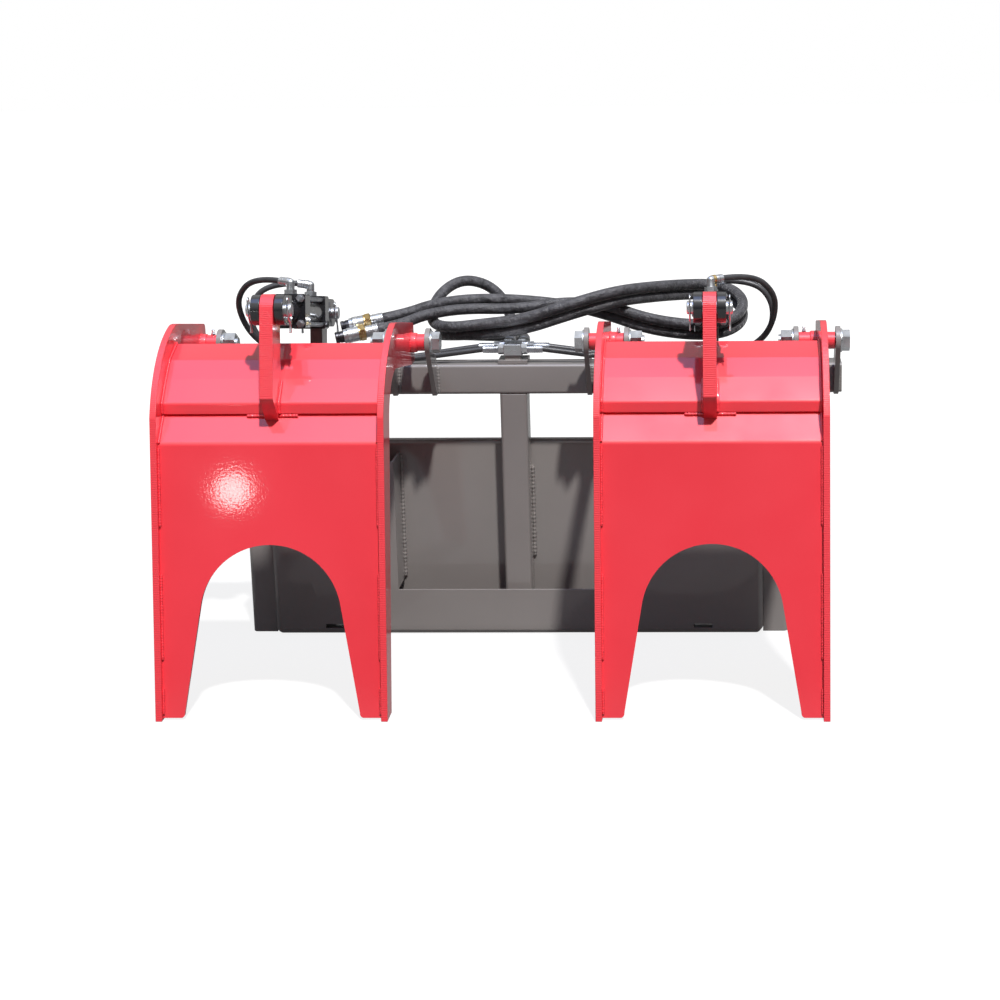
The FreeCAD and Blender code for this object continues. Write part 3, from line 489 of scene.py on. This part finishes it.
def crimp(place, way, radius, length):
    """Crimped sleeve over a ferrule: rolled grooves between proud bands, and a turned-in end."""
    rings = [(0.0, radius - 0.0006), (0.0008, radius + 0.0004)]
    reach = 0.0016
    while reach + crimp_pitch < length - 0.0015:
        rings.append((reach, radius + 0.0007))
        rings.append((reach + crimp_pitch * 0.42, radius + 0.0007))
        rings.append((reach + crimp_pitch * 0.58, radius + 0.0001))
        rings.append((reach + crimp_pitch * 0.84, radius + 0.0001))
        reach += crimp_pitch
    rings += [(length - 0.0010, radius + 0.0005), (length + 0.0002, radius - 0.0008)]
    return turned("crimp", place, way, rings, 24)


manifold_z = 0.61125
side_ferrules = ((0.0305, -0.054), (0.0420, -0.025))
side_ferrule_radius, side_ferrule_length = 0.0075, 0.032
inlet_ferrule = (0.0150, 0.000)
inlet_ferrule_radius, inlet_ferrule_length = 0.0125, 0.028
crimps = []
for side in (-1, 1):
    for x, y in side_ferrules:
        crimps.append(crimp((side * x, y, manifold_z), (side, 0, 0), side_ferrule_radius,
                            side_ferrule_length))
    crimps.append(crimp((side * inlet_ferrule[0], inlet_ferrule[1], manifold_z), (0, 1, 0),
                        inlet_ferrule_radius, inlet_ferrule_length))
joined("manifold_crimps", crimps, dull_steel, "frame")


# Jaw ribs. Two flame-cut 12.7 mm plates carry each jaw. The red gloss powder coat follows the ribbed
# cut on their edges, and the faces are smooth.
def cut_edge_ribs(material):
    """Ribs of a flame cut, square to the outline, only where a face looks away from the side."""
    tree = material.node_tree
    place = tree.nodes.new("ShaderNodeTexCoord")
    turn = tree.nodes.new("ShaderNodeMapping")
    turn.inputs["Rotation"].default_value = (math.radians(45.0), 0.0, 0.0)
    ribs = tree.nodes.new("ShaderNodeTexWave")
    ribs.bands_direction = "Z"
    ribs.inputs["Scale"].default_value = 88.0
    ribs.inputs["Distortion"].default_value = 1.6
    ribs.inputs["Detail"].default_value = 2.0
    ribs.inputs["Detail Scale"].default_value = 0.6
    facing = tree.nodes.new("ShaderNodeSeparateXYZ")
    size = tree.nodes.new("ShaderNodeMath")
    size.operation = "ABSOLUTE"
    edge_only = tree.nodes.new("ShaderNodeMath")
    edge_only.operation = "LESS_THAN"
    edge_only.inputs[1].default_value = 0.5
    height = tree.nodes.new("ShaderNodeMath")
    height.operation = "MULTIPLY"
    wire(material, place, "Object", turn, "Vector")
    wire(material, turn, "Vector", ribs, "Vector")
    wire(material, place, "Normal", facing, "Vector")
    wire(material, facing, "X", size, 0)
    wire(material, size, "Value", edge_only, 0)
    wire(material, ribs, "Fac", height, 0)
    wire(material, edge_only, "Value", height, 1)
    return height


red_dark, red_light = (0.86, 0.034, 0.052), (0.93, 0.042, 0.064)
jaw_paint = powder_coat("jaw_paint", red_dark, red_light, 0.46, 0.000035)
cut_edge_paint = powder_coat("cut_edge_paint", red_dark, red_light, 0.44, 0.00004,
                             ((cut_edge_ribs, 0.00028),))
for word, side in sides:
    for part in ("outer_rib", "inner_rib"):
        eased(f"{word}_{part}", cut_edge_paint, 0.0012)

# Jaw plates. The bent upper plate and the arched lower plate are let in between the ribs. Continuous
# beads join the upper plate, and short stitch welds hold the lower plate along its legs.
inner_face, outer_face = 0.2102, 0.6290
plate_lift = 0.0018


def jaw_point(x, ahead, above):
    """A point of the jaw's side view, as reach ahead of the hinge and height above it."""
    return (x, pivot_y - ahead, pivot_z + above)


lean = (0.4665 - 0.3660) / (0.644 - 0.075)
recess = 0.010 / math.cos(math.atan(lean))


def lower_plate_line(z):
    """Reach of the lower plate's front face at one height, and that height above the hinge."""
    above = z - pivot_z
    return 0.3660 + lean * (-0.075 - above) - recess + plate_lift, above


upper_line = ((0.1900, 0.0378), (0.2488, 0.0166), (0.2857, -0.0147), (0.3255, -0.0545), (0.3258, -0.0750))
band_line = ((0.3075, -0.0645), (0.3655, -0.1225))
stitches = ((0.365, 0.512), (0.115, 0.275), (0.012, 0.060))
for word, side in sides:
    eased(f"{word}_upper_plate", jaw_paint, 0.0012)
    eased(f"{word}_lower_plate", jaw_paint, 0.0014)
    seams = []
    for x in (inner_face + plate_lift, outer_face - plate_lift):
        seams.append([jaw_point(side * x, a, b) for a, b in upper_line])
        seams.append([jaw_point(side * x, a, b) for a, b in band_line])
        for low, high in stitches:
            seams.append([jaw_point(side * x, *lower_plate_line(z)) for z in (high, low)])
    weld_beads(f"{word}_plate_welds", seams, 0.0027, f"{word}_jaw", jaw_paint)

# Lugs. A 25 mm flame-cut lug stands on each upper plate and takes the rod pin. Beads run up both
# sides, and a wider seam weld closes the gap between the two plates below it.
lug_half = 0.0127
lug_end = (0.3645, -0.0420)
lug_end_facing = (0.0, -0.780, -0.626)
lug_line = ((0.2895, -0.0185), (0.3265, -0.0545), (0.3270, -0.0750))
for word, side in sides:
    eased(f"{word}_lug", cut_edge_paint, 0.0012, trim=(jaw_point(0.0, *lug_end), lug_end_facing))
    beads = []
    for face in (-1, 1):
        x = side * cylinder_x + face * (lug_half + 0.0015)
        beads.append([jaw_point(x, a, b) for a, b in lug_line])
        beads.append([jaw_point(side * cylinder_x + face * reach, 0.3235, -0.0795)
                      for reach in (lug_half, 0.049)])
    weld_beads(f"{word}_lug_welds", beads, 0.0034, f"{word}_jaw", jaw_paint)

# Bushings. Each rib is welded round a thick-walled bushing with a bead on both faces. A raised collar
# stands beside the rib, and a grease fitting is screwed in on top.
bushing_radius = 0.01745
bushing_faces = (0.1975, 0.2102, 0.6290, 0.6417)
outward_faces = (0.1975, 0.6290)
bead_lift = 0.0010
ring_steps = 24
collar_gap = 0.0008
nipple_places = (0.2270, 0.6040)
for word, side in sides:
    eased(f"{word}_bushings", jaw_paint, 0.0010)
    rings = []
    for rib_x in bushing_faces:
        out = -1 if rib_x in outward_faces else 1
        loop = []
        for i in range(ring_steps + 1):
            angle = 2 * math.pi * i / ring_steps
            radius = bushing_radius + bead_lift
            loop.append((side * (rib_x + out * bead_lift), pivot_y + radius * math.cos(angle),
                         pivot_z + radius * math.sin(angle)))
        rings.append(loop)
    weld_beads(f"{word}_bushing_welds", rings, 0.0026, f"{word}_jaw", jaw_paint)
    collars = []
    for rib_x, way in ((0.1975, -1), (0.6290, -1), (0.2102, 1)):
        start = rib_x + way * collar_gap
        collars.append(turned("collar", (side * start, pivot_y, pivot_z), (side * way, 0, 0),
                              ((0.0, 0.0176), (0.0002, 0.0200), (0.0095, 0.0200), (0.0112, 0.0194),
                               (0.0120, 0.0180), (0.0122, 0.0172)), 40))
    joined(f"{word}_bushing_collars", collars, jaw_paint, f"{word}_jaw")
    nipples = []
    for x in nipple_places:
        top = (side * x, pivot_y, pivot_z + bushing_radius - 0.0010)
        nipples.append(turned("nipple_hexagon", top, (0, 0, 1),
                              ((0.0, 0.0046), (0.0046, 0.0046), (0.0052, 0.0040)), 6))
        nipples.append(turned("nipple_head", top, (0, 0, 1),
                              ((0.0045, 0.0030), (0.0072, 0.0030), (0.0080, 0.0022), (0.0092, 0.0022),
                               (0.0100, 0.0031), (0.0114, 0.0033), (0.0126, 0.0024), (0.0132, 0.0010)), 16))
    joined(f"{word}_grease_fittings", nipples, zinc, f"{word}_jaw")

# Cylinders. Square black caps are clamped on a black tube by four tie rods with nuts. The chromed rod
# ends in a black clevis, held to the lug by a zinc pin with a hairpin clip at both ends.
cylinder_paint = powder_coat("cylinder_paint", (0.008, 0.008, 0.010), (0.014, 0.014, 0.017), 0.26, 0.00004)
chrome = plated("chrome", (0.80, 0.80, 0.81), (0.88, 0.88, 0.90), 0.06, 1400.0, 0.000002)
rod_pin_y, rod_pin_z = -0.4455, 0.764
rod_clip_lean = math.radians(-10.0)
for word, side in sides:
    for part in ("base_cap", "gland", "rod_clevis"):
        eased(f"{word}_{part}", cylinder_paint, 0.0014, 3)
    eased(f"{word}_barrel", cylinder_paint, 0.0008)
    eased(f"{word}_tie_rods", dull_steel, 0.0005)
    eased(f"{word}_rod", chrome, 0.0005)
    eased(f"{word}_piston", dull_steel, 0.0004)
    eased(f"{word}_rod_pin", zinc, 0.0005)
    hairpin_clips(f"{word}_rod_pin_clips",
                  [(side * cylinder_x + end * (pin_half - clip_inset), rod_pin_y, rod_pin_z)
                   for end in (-1, 1)], rod_clip_lean, f"{word}_rod")

# Cylinder ports. A plated elbow is screwed into each cap. Its ferrule is crimped on the hose with rolled
# grooves, and a round swivel nut sits behind it, brass yellow from its chromate on the right-hand side.
brass = plated("brass", (0.52, 0.37, 0.15), (0.72, 0.54, 0.26), 0.28, 900.0)
port_crimp_radius = 0.0079
port_crimp_start = 0.0105
port_length = 0.026
swivel_start = 0.0035
swivel_rings = ((0.0, 0.0086), (0.0005, 0.0092), (0.0062, 0.0092), (0.0070, 0.0086))
port_bends = {"front": (0.417, -0.24937, 0.78535), "rear": (0.417, -0.05966, 0.74991)}
port_ends = {"front": (0.43930, -0.23606, 0.78654), "rear": (0.44268, -0.06076, 0.75379)}
for word, side in sides:
    eased(f"{word}_ports", zinc, 0.0006)
    crimps = []
    nuts = []
    for name in ("front", "rear"):
        bend = Vector((side * port_bends[name][0], *port_bends[name][1:]))
        end = Vector((side * port_ends[name][0], *port_ends[name][1:]))
        way = (end - bend).normalized()
        crimps.append(crimp(bend + way * port_crimp_start, way, port_crimp_radius,
                            port_length - port_crimp_start))
        nuts.append(turned("swivel_nut", bend + way * swivel_start, way, swivel_rings))
    joined(f"{word}_port_crimps", crimps, dull_steel, f"{word}_barrel")
    joined(f"{word}_swivel_nuts", nuts, brass if side > 0 else zinc, f"{word}_barrel")


# Supply hoses. Two hoses in a woven nylon sleeve run side by side from the manifold over the right-hand
# side and back to the left. The sleeve is braided on the bias, a little slack and faintly shiny.
def hose_material(name, dark, light, roughness):
    material, shader, tree = new_material(name, light, roughness)
    tint(material, noise(material, 45.0, 4.0), shader, dark, light)
    vary(material, noise(material, 70.0, 3.0), shader, "Roughness", roughness * 0.85, roughness * 1.15)
    return material, shader, tree


threads_round = 34
turns_long = 27.7
wrinkles_long = 160.0
sleeve_cloth, shader, tree = hose_material("sleeve_cloth", (0.026, 0.025, 0.028), (0.085, 0.083, 0.090), 0.42)
shader.inputs["Sheen Weight"].default_value = 0.35
shader.inputs["Sheen Roughness"].default_value = 0.4
layers = [(noise(sleeve_cloth, 34.0, 3.0), "Fac", 0.0016)]
place = tree.nodes.new("ShaderNodeUVMap")
along = tree.nodes.new("ShaderNodeMapping")
along.inputs["Scale"].default_value = (wrinkles_long, 4.0, 1.0)
wrinkles = tree.nodes.new("ShaderNodeTexNoise")
wrinkles.inputs["Scale"].default_value = 1.0
wrinkles.inputs["Detail"].default_value = 4.0
wire(sleeve_cloth, place, "UV", along, "Vector")
wire(sleeve_cloth, along, "Vector", wrinkles, "Vector")
layers.append((wrinkles, "Fac", 0.0060))
for turn in (1, -1):
    spread = tree.nodes.new("ShaderNodeMapping")
    spread.inputs["Scale"].default_value = (turns_long * threads_round, turn * threads_round, 1.0)
    weave = tree.nodes.new("ShaderNodeTexWave")
    weave.bands_direction = "DIAGONAL"
    weave.inputs["Scale"].default_value = math.pi / 5
    wire(sleeve_cloth, place, "UV", spread, "Vector")
    wire(sleeve_cloth, spread, "Vector", weave, "Vector")
    layers.append((weave, "Fac", 0.00014))
bump(sleeve_cloth, shader, layers)


def hose(name, route, radius, material):
    """Round hose on a smooth line led by its route; returns the mesh, its line and its length."""
    bpy.ops.object.select_all(action="DESELECT")
    curve = bpy.data.curves.new(name, "CURVE")
    curve.dimensions = "3D"
    curve.resolution_u = 10
    spline = curve.splines.new("NURBS")
    spline.points.add(len(route) - 1)
    for point, spot in zip(spline.points, route):
        point.co = (*spot, 1.0)
    spline.order_u = 3
    spline.use_endpoint_u = True
    piece = bpy.data.objects.new(name, curve)
    bpy.context.scene.collection.objects.link(piece)
    plain = bpy.data.meshes.new_from_object(piece)
    line = [v.co.copy() for v in plain.vertices]
    bpy.data.meshes.remove(plain)
    curve.bevel_depth = radius
    curve.bevel_resolution = 8
    curve.use_fill_caps = True
    select_only(piece)
    bpy.ops.object.convert(target="MESH")
    bpy.ops.object.shade_smooth_by_angle(angle=math.radians(40.0))
    paint(piece, material)
    return piece, line, round(sum((b - a).length for a, b in zip(line, line[1:])), 3)


supply_radius = 0.0115
inlet_x, inlet_y = 0.015, 0.028
shared = [Vector(p) for p in (
    (0.020, 0.002, 0.642), (0.120, 0.006, 0.674), (0.212, 0.034, 0.696), (0.290, 0.104, 0.694),
    (0.362, 0.182, 0.686), (0.416, 0.200, 0.683), (0.463, 0.1785, 0.6733), (0.485, 0.1357, 0.6538),
    (0.474, 0.0895, 0.6329), (0.432, 0.061, 0.6194), (0.365, 0.060, 0.618), (0.275, 0.060, 0.632),
    (0.190, 0.080, 0.660))]
beside = Vector((0.0, -0.009, 0.024))
supply_front = [
    (inlet_x, inlet_y, manifold_z), (0.016, 0.102, 0.608), (-0.034, 0.162, 0.598), (-0.124, 0.160, 0.602),
    (-0.172, 0.111, 0.612), (-0.173, 0.046, 0.624), (-0.127, 0.000, 0.631), (-0.060, -0.001, 0.634),
    *shared, (0.100, 0.086, 0.682), (0.000, 0.078, 0.694), (-0.100, 0.062, 0.699), (-0.180, 0.040, 0.691),
    (-0.232, 0.027, 0.674), (-0.282, 0.019, 0.665)]
supply_rear = [
    (-inlet_x, inlet_y, manifold_z), (-0.017, 0.089, 0.612), (-0.024, 0.139, 0.660), (-0.062, 0.150, 0.712),
    (-0.125, 0.130, 0.733), (-0.176, 0.092, 0.702), (-0.186, 0.036, 0.654), (-0.142, -0.018, 0.650),
    (-0.060, -0.011, 0.658), *[p + beside for p in shared], (0.100, 0.060, 0.692), (0.000, 0.047, 0.678),
    (-0.110, 0.028, 0.684), (-0.190, 0.008, 0.675), (-0.240, -0.006, 0.656), (-0.288, -0.018, 0.648)]

# Quick couplers on the free ends. Each has a crimped ferrule, a brass hexagon with a ring, a knurled
# locking sleeve that slides on the body, and a blackened nose with a bore.
ferrule_start, ferrule_radius, ferrule_length = -0.0005, 0.0123, 0.0265
hexagon_start, ring_start, locking_start, nose_start = 0.026, 0.0370, 0.038, 0.0715
knurl_start, knurl_pitch, knurl_crest, knurl_root = 0.0020, 0.0030, 0.0160, 0.0152
knurl_bands = 5
blackened = plated("blackened", (0.05, 0.05, 0.055), (0.11, 0.11, 0.12), 0.34, 700.0)
for name, route in (("front", supply_front), ("rear", supply_rear)):
    sleeve, line, length = hose(f"supply_hose_{name}_sleeve", route, supply_radius, sleeve_cloth)
    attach(sleeve, "frame")
    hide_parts(f"supply_hose_{name}")
    start = Vector(route[-1])
    way = (start - Vector(route[-2])).normalized()
    ferrule = crimp(start + way * ferrule_start, way, ferrule_radius, ferrule_length)
    hexagon = turned("hexagon", start + way * hexagon_start, way,
                     ((0.0, 0.0150), (0.0012, 0.0172), (0.0108, 0.0172), (0.0120, 0.0150)), 6)
    steel = joined(f"coupler_{name}_ferrule", [ferrule], zinc, "frame")
    knurl = [(0.0, 0.0120), (0.0006, 0.0150)]
    for i in range(knurl_bands):
        near = knurl_start + i * knurl_pitch
        knurl += [(near, knurl_crest), (near + 0.0014, knurl_crest),
                  (near + 0.0020, knurl_root), (near + 0.0026, knurl_root)]
    knurl += [(0.0185, 0.0160), (0.0260, 0.0160), (0.0275, 0.0148), (0.0340, 0.0146), (0.0343, 0.0120)]
    body = turned("locking_sleeve", start + way * locking_start, way, knurl, 36)
    nose = turned("nose", start + way * nose_start, way,
                  ((0.0, 0.0118), (0.0004, 0.0122), (0.0080, 0.0122), (0.0092, 0.0112), (0.0112, 0.0112),
                   (0.0124, 0.0122), (0.0170, 0.0122), (0.0184, 0.0112), (0.0185, 0.0086),
                   (0.0120, 0.0080), (0.0119, 0.0010)), 36)
    shell = joined(f"coupler_{name}_sleeve", [body], zinc, "frame")
    tip = joined(f"coupler_{name}_nose", [nose], blackened, "frame")
    ring = turned(f"coupler_{name}_ring", start + way * ring_start, way,
                  ((0.0, 0.0120), (0.0004, 0.0158), (0.0030, 0.0163), (0.0046, 0.0158), (0.0050, 0.0120)), 36)
    nut = joined(f"coupler_{name}_nut", [hexagon, ring], brass, "frame")
    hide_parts(f"coupler_{name}")

# Cylinder hoses. Four smooth black rubber hoses run from the manifold along the back of the tube, up
# outside the cylinders and into the port ferrules.
cylinder_hose_radius = 0.006
hose_rubber, shader, tree = hose_material("hose_rubber", (0.034, 0.034, 0.036), (0.058, 0.058, 0.062), 0.40)
bump(hose_rubber, shader, [(noise(hose_rubber, 900.0, 2.0), "Fac", 0.00004)])
front_route = (
    (0.0625, -0.054, 0.61125), (0.150, -0.055, 0.600), (0.232, -0.058, 0.590), (0.322, -0.060, 0.5895),
    (0.405, -0.064, 0.592), (0.475, -0.080, 0.607), (0.524, -0.108, 0.642), (0.546, -0.138, 0.692),
    (0.545, -0.170, 0.746), (0.500, -0.2005, 0.789))
rear_route = (
    (0.074, -0.025, 0.61125), (0.140, -0.026, 0.603), (0.215, -0.034, 0.591), (0.300, -0.041, 0.5895),
    (0.378, -0.046, 0.592), (0.443, -0.052, 0.600), (0.500, -0.064, 0.614), (0.541, -0.071, 0.655),
    (0.543, -0.072, 0.713), (0.503, -0.068, 0.755))
for word, side in sides:
    for name, route in (("front", front_route), ("rear", rear_route)):
        points = [(side * p[0], p[1], p[2]) for p in (*route, port_ends[name])]
        rubber, line, length = hose(f"{word}_{name}_hose_rubber", points, cylinder_hose_radius, hose_rubber)
        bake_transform(rubber)
        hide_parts(f"{word}_{name}_hose")
